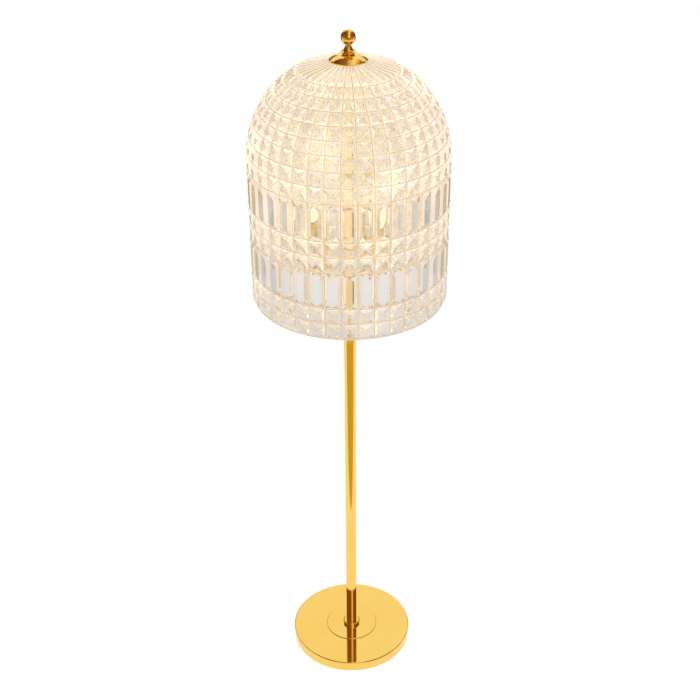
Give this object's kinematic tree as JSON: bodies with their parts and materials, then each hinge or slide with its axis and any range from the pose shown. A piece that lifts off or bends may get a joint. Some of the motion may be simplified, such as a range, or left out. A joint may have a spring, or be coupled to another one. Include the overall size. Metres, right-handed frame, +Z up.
{
  "type": "floor lamp",
  "caption": "Free-standing floor lamp: weighted round base, slim stem and a domed wire cage shade set with cut crystals round a cluster of candle bulbs.",
  "frame": {"origin": "centre of the base's underside, on the floor", "axes": "+Z up along the stem; the picture's viewer stands on the -Y side"},
  "size_m": [0.4212, 0.4212, 1.5653],
  "materials": {
    "polished_gold": "mirror polished, light gold plated",
    "cage_wire": "satin gold wire",
    "cut_crystal": "clear cut and polished",
    "bulb_glass": "frosted, lit",
    "bulb_stalk": "lit filament stalk",
    "bulb_cap_metal": "nickel plated",
    "lampholder_plastic": "moulded",
    "zinc_steel": "zinc plated",
    "iron": "as cast, primed",
    "felt": "felt",
    "bush_rubber": "moulded",
    "terminal_plastic": "moulded",
    "wire_sheath": "extruded"
  },
  "bodies": {
    "stand": {"base_pad": "felt", "base_weight": "iron", "base_shell": "polished_gold", "cord_bush": "bush_rubber", "terminal_block": "terminal_plastic", "base_washer": "zinc_steel", "base_nut": "zinc_steel", "foot_nipple": "zinc_steel", "foot_collar": "polished_gold", "foot_plug": "zinc_steel", "stem_lower": "polished_gold", "stem_coupler": "zinc_steel", "stem_upper": "polished_gold", "top_plug": "zinc_steel", "top_rod": "zinc_steel", "seat_nut": "zinc_steel", "seat_washer": "zinc_steel", "arm_hub": "polished_gold", "hub_screws": "zinc_steel", "arm_leads": "wire_sheath", "supply_wires": "wire_sheath", "lamp_arm_1": "polished_gold", "lamp_cup_1": "polished_gold", "lamp_sleeve_1": "polished_gold", "lampholder_1": "lampholder_plastic", "lamp_arm_2": "polished_gold", "lamp_cup_2": "polished_gold", "lamp_sleeve_2": "polished_gold", "lampholder_2": "lampholder_plastic", "lamp_arm_3": "polished_gold", "lamp_cup_3": "polished_gold", "lamp_sleeve_3": "polished_gold", "lampholder_3": "lampholder_plastic"},
    "shade": {"top_plate": "polished_gold", "rib_wires": "cage_wire", "ring_wires": "cage_wire", "cap": "polished_gold", "crystals_rim": "cut_crystal", "crystals_lower_long": "cut_crystal", "crystals_middle": "cut_crystal", "crystals_upper_long": "cut_crystal", "crystals_waist": "cut_crystal", "crystals_shoulder": "cut_crystal", "crystals_crown_1": "cut_crystal", "crystals_crown_2": "cut_crystal", "crystals_crown_3": "cut_crystal", "crystals_crown_4": "cut_crystal", "crystals_crown_5": "cut_crystal", "crystals_fan": "cut_crystal"},
    "finial": {"finial": "polished_gold"},
    "bulb_1": {"bulb_cap_1": "bulb_cap_metal", "bulb_glass_1": "bulb_glass", "bulb_filament_1": "bulb_stalk"},
    "bulb_2": {"bulb_cap_2": "bulb_cap_metal", "bulb_glass_2": "bulb_glass", "bulb_filament_2": "bulb_stalk"},
    "bulb_3": {"bulb_cap_3": "bulb_cap_metal", "bulb_glass_3": "bulb_glass", "bulb_filament_3": "bulb_stalk"}
  },
  "joints": [
    {"name": "shade_turn", "type": "hinge", "parent": "stand", "child": "shade", "pos_m": [0, 0, 1.4], "axis": [0, 0, 1], "continuous": true},
    {"name": "finial_turn", "type": "hinge", "parent": "stand", "child": "finial", "pos_m": [0, 0, 1.53], "axis": [0, 0, 1], "continuous": true},
    {"name": "bulb_1_turn", "type": "hinge", "parent": "stand", "child": "bulb_1", "pos_m": [-0.07727, -0.02071, 1.17], "axis": [0, 0, 1], "continuous": true},
    {"name": "bulb_2_turn", "type": "hinge", "parent": "stand", "child": "bulb_2", "pos_m": [0.05657, -0.05657, 1.17], "axis": [0, 0, 1], "continuous": true},
    {"name": "bulb_3_turn", "type": "hinge", "parent": "stand", "child": "bulb_3", "pos_m": [0.02071, 0.07727, 1.17], "axis": [0, 0, 1], "continuous": true}
  ]
}
